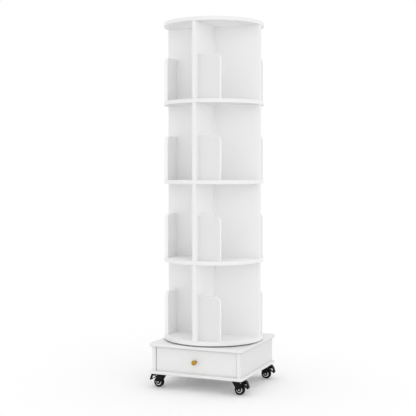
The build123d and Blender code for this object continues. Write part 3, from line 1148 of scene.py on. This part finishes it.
class BOOKCASE_OT_wheels(bpy.types.Operator):
    """Mould the wheels: a rubber tyre on a dished and ribbed hub"""

    bl_idname = "bookcase.wheels"
    bl_label = "Wheels"

    def execute(self, context):
        settings = context.scene.bookcase_casters
        rubber = moulded_rubber("moulded_black_rubber", settings.rubber, linear("#262524"))
        nylon = moulded_nylon("moulded_pale_grey_nylon", settings.hub, grit=0.8, shine=0.5)
        # Crowned tread with the mould's parting line, round shoulders and a step at the hub
        tread = WHEEL_RADIUS - 0.12
        tyre = [
            (WHEEL_HALF - 0.6, HUB_RADIUS, 0),
            (WHEEL_HALF, HUB_RADIUS + 0.8, 0.3),
            (WHEEL_HALF, tread - 1.6, 1.5),
            (WHEEL_HALF - 2.6, tread, 2.4),
            (0.35, tread, 0),
            (0.15, WHEEL_RADIUS, 0),
        ]
        tyre = rounded(both_sides(tyre), 0, 5)
        # A broad flat rim round a narrow dish, with ribs across the dish from the boss to the rim
        rim, dish, boss = WHEEL_HALF - 1.0, WHEEL_HALF - 3.6, CHEEK_INSIDE - 0.3
        bore, boss_radius, rim_radius = 3.08, 5.0, 8.6
        hub = [
            (boss, bore, 0),
            (boss, boss_radius, 0.4),
            (dish, 5.4, 0.5),
            (dish, 7.8, 0.5),
            (rim, rim_radius, 0.4),
            (rim, HUB_RADIUS - 0.4, 0.3),
            (rim - 0.4, HUB_RADIUS, 0),
        ]
        hub = rounded(both_sides(hub), 0, 4)
        half = 0.6
        rib = [(boss_radius, -half), (rim_radius, -half), (rim_radius, half), (boss_radius, half)]
        rib = rounded(rib, 0.2, 2)
        rib_foot, rib_height = dish - 0.5, 2.4
        centre = Vector((TRAIL, 0.0, WHEEL_RADIUS))
        for corner in CORNERS:
            place = caster_place(corner)
            body = f"caster_wheel_{corner}"
            mesh = bmesh.new()
            turn(mesh, [*tyre, tyre[0]], centre, (0, 1, 0), 96)
            node = f"caster_tyre_{corner}"
            add_piece(f"moulded_tyre_{corner}", mesh, place, rubber, body, (node,))

            mesh = bmesh.new()
            turn(mesh, [*hub, hub[0]], centre, (0, 1, 0), 72)
            for side in (-1, 1):
                along = Vector((0, side, 0))
                for number in range(settings.hub_ribs):
                    angle = math.tau * (number + 0.5) / settings.hub_ribs
                    out = Vector((math.cos(angle), 0, math.sin(angle)))
                    foot = plane_at(centre + along * rib_foot, out, along.cross(out))
                    prism(mesh, rib, foot, rib_height)
            node = f"caster_hub_{corner}"
            add_piece(f"dished_hub_{corner}", mesh, place, nylon, body, (node,))
        return {"FINISHED"}


class BOOKCASE_OT_brakes(bpy.types.Operator):
    """Finish the brake pedals and give them their grip ribs, webs and pivot pins"""

    bl_idname = "bookcase.brakes"
    bl_label = "Brakes"

    def execute(self, context):
        settings = context.scene.bookcase_casters
        nylon = moulded_nylon("moulded_black_nylon", settings.pedal, grit=0.9, shine=0.09)
        zinc = zinc_finish()
        pedals = [f"caster_brake_{corner}" for corner in CORNERS]
        dress(pedals, nylon)
        soften(pedals, 0.5)
        # The face that a foot presses, in three runs from the top's outer end down to the lip,
        # and the shares of each run where its grip ribs stand
        face = ((9.5, 9.4), (17.5, 9.4), (25.0, -0.5), (31.0, -17.5))
        face = [Vector((x, 0.0, z)) for x, z in face]
        shares = ((0.45, 0.8), (0.22, 0.45, 0.68), (0.1, 0.26, 0.42, 0.58))
        rib = rounded([(-0.55, 0, 0), (0.55, 0, 0), (0.4, 0.85), (-0.4, 0.85)], 0.25, 3)
        rib_length, rib_root = 14.0, 0.3
        # A web at mid-width stiffens the pedal's hook
        web = [(1.0, 1.0), (8.5, 7.0), (16.0, 7.0), (23.0, -2.0), (24.5, -6.0), (9.0, -6.0)]
        web = rounded(web, 1.2, 3)
        web_thick = 3.0
        # The pivot pin's flat domed heads, one on each cheek
        head = ((0.8, 0.0), (0.7, 1.3), (0.35, 2.1), (0.0, 2.3), (0.0, 0.0))
        head = [(-CHEEK_OUTSIDE - height, radius) for height, radius in head]
        pivot = Vector((BRAKE_AT.x - PIN_AT.x, 0.0, BRAKE_AT.z))
        for corner in CORNERS:
            place = caster_place(corner)
            body = f"caster_pedal_{corner}"
            mesh = bmesh.new()
            for start, end, stands in zip(face, face[1:], shares):
                along = (end - start).normalized()
                out = Vector((-along.z, 0.0, along.x))
                end_on = along.cross(out) * rib_length
                for share in stands:
                    foot = pivot + start.lerp(end, share) - out * rib_root - end_on / 2
                    prism(mesh, rib, plane_at(foot, along, out), rib_length)
            beside = plane_at(pivot + Vector((0, web_thick / 2, 0)), (1, 0, 0), (0, 0, 1))
            prism(mesh, web, beside, web_thick)
            add_piece(f"pedal_grip_{corner}", mesh, place, nylon, body)

            mesh = bmesh.new()
            for side in (-1, 1):
                turn(mesh, head, pivot, (0, side, 0), 32)
            add_piece(f"pivot_pin_{corner}", mesh, place, zinc, body)
        return {"FINISHED"}


class BOOKCASE_OT_stage(bpy.types.Operator):
    """Make the floor, the studio light and the camera"""

    bl_idname = "bookcase.stage"
    bl_label = "Stage"

    def execute(self, context):
        scene = context.scene
        settings = scene.bookcase_stage
        scene.view_settings.view_transform = "Standard"

        camera = bpy.data.objects.new("camera", bpy.data.cameras.new("camera"))
        scene.collection.objects.link(camera)
        scene.camera = camera
        around = settings.azimuth
        camera.location = (
            settings.distance * math.sin(around),
            -settings.distance * math.cos(around),
            settings.height,
        )
        camera.rotation_euler = (math.pi / 2 - settings.tilt, 0.0, around + settings.pan)
        camera.data.sensor_width = 36.0
        camera.data.lens = settings.lens
        camera.data.clip_start = 0.1
        camera.data.clip_end = 200.0

        half = 30.0
        corners = [(-half, -half, 0), (half, -half, 0), (half, half, 0), (-half, half, 0)]
        data = bpy.data.meshes.new("floor")
        data.from_pydata(corners, [], [(0, 1, 2, 3)])
        floor = bpy.data.objects.new("floor", data)
        scene.collection.objects.link(floor)
        # Seamless paper: matt white, with a fine tooth
        name = "matt_white_studio_paper"
        paper, _, shader = grained(
            name, WHITE[:3], grain=2.0, relief=0.01, gloss=(0.9, 1.0), drift=0.0
        )
        shader.inputs["Specular IOR Level"].default_value = 0.0
        data.materials.append(paper)

        world = bpy.data.worlds.new("studio")
        scene.world = world
        world.use_nodes = True
        tree = world.node_tree
        tree.nodes.clear()
        output = add_node(tree, "ShaderNodeOutputWorld")
        path = add_node(tree, "ShaderNodeLightPath")
        seen = add_node(
            tree,
            "ShaderNodeMath",
            {0: path.outputs["Is Camera Ray"], 1: path.outputs["Is Glossy Ray"]},
            operation="MAXIMUM",
        )
        seen_through = add_node(
            tree,
            "ShaderNodeMath",
            {0: seen.outputs[0], 1: path.outputs["Is Transmission Ray"]},
            operation="MAXIMUM",
        )
        light = add_node(
            tree, "ShaderNodeBackground", {"Color": WHITE, "Strength": settings.room_light}
        )
        backdrop = add_node(tree, "ShaderNodeBackground", {"Color": WHITE, "Strength": 1.0})
        both = add_node(
            tree,
            "ShaderNodeMixShader",
            {0: seen_through.outputs[0], 1: light.outputs[0], 2: backdrop.outputs[0]},
        )
        tree.links.new(both.outputs[0], output.inputs["Surface"])

        for name, strength, around, height in (
            ("broad_key", settings.key_light, 45.0, 15.0),
            ("overhead", settings.top_light, 0.0, 90.0),
        ):
            lamp = bpy.data.lights.new(name, "SUN")
            lamp.energy = strength
            lamp.angle = math.radians(60)
            holder = bpy.data.objects.new(name, lamp)
            scene.collection.objects.link(holder)
            holder.rotation_euler = (math.radians(90.0 - height), 0.0, math.radians(around))
        return {"FINISHED"}


class BOOKCASE_PT_panel(bpy.types.Panel):
    """Lists the pieces of the bookcase"""

    bl_label = "Revolving bookcase"
    bl_idname = "BOOKCASE_PT_panel"
    bl_space_type = "VIEW_3D"
    bl_region_type = "UI"
    bl_category = "Bookcase"

    def draw(self, context):
        for name, settings in SETTINGS.items():
            box = self.layout.box()
            box.label(text=settings.__doc__)
            for value in settings.__annotations__:
                box.prop(getattr(context.scene, name), value)
        for operator in OPERATORS:
            self.layout.operator(operator.bl_idname)


SETTINGS = {
    "bookcase_boards": BoardSettings,
    "bookcase_drawer": DrawerSettings,
    "bookcase_casters": CasterSettings,
    "bookcase_stage": StageSettings,
}
OPERATORS = (
    BOOKCASE_OT_boards,
    BOOKCASE_OT_drawer_box,
    BOOKCASE_OT_knob,
    BOOKCASE_OT_runners,
    BOOKCASE_OT_turntable,
    BOOKCASE_OT_caster_plates,
    BOOKCASE_OT_forks,
    BOOKCASE_OT_king_pins,
    BOOKCASE_OT_wheels,
    BOOKCASE_OT_brakes,
    BOOKCASE_OT_stage,
)


def register():
    for cls in (*SETTINGS.values(), *OPERATORS, BOOKCASE_PT_panel):
        bpy.utils.register_class(cls)
    for name, cls in SETTINGS.items():
        setattr(bpy.types.Scene, name, PointerProperty(type=cls))


def unregister():
    for name in SETTINGS:
        delattr(bpy.types.Scene, name)
    for cls in (BOOKCASE_PT_panel, *reversed(OPERATORS), *SETTINGS.values()):
        bpy.utils.unregister_class(cls)


def main():
    register()
    for operator in OPERATORS:
        group, name = operator.bl_idname.split(".")
        getattr(getattr(bpy.ops, group), name)()


if __name__ == "__main__":
    main()
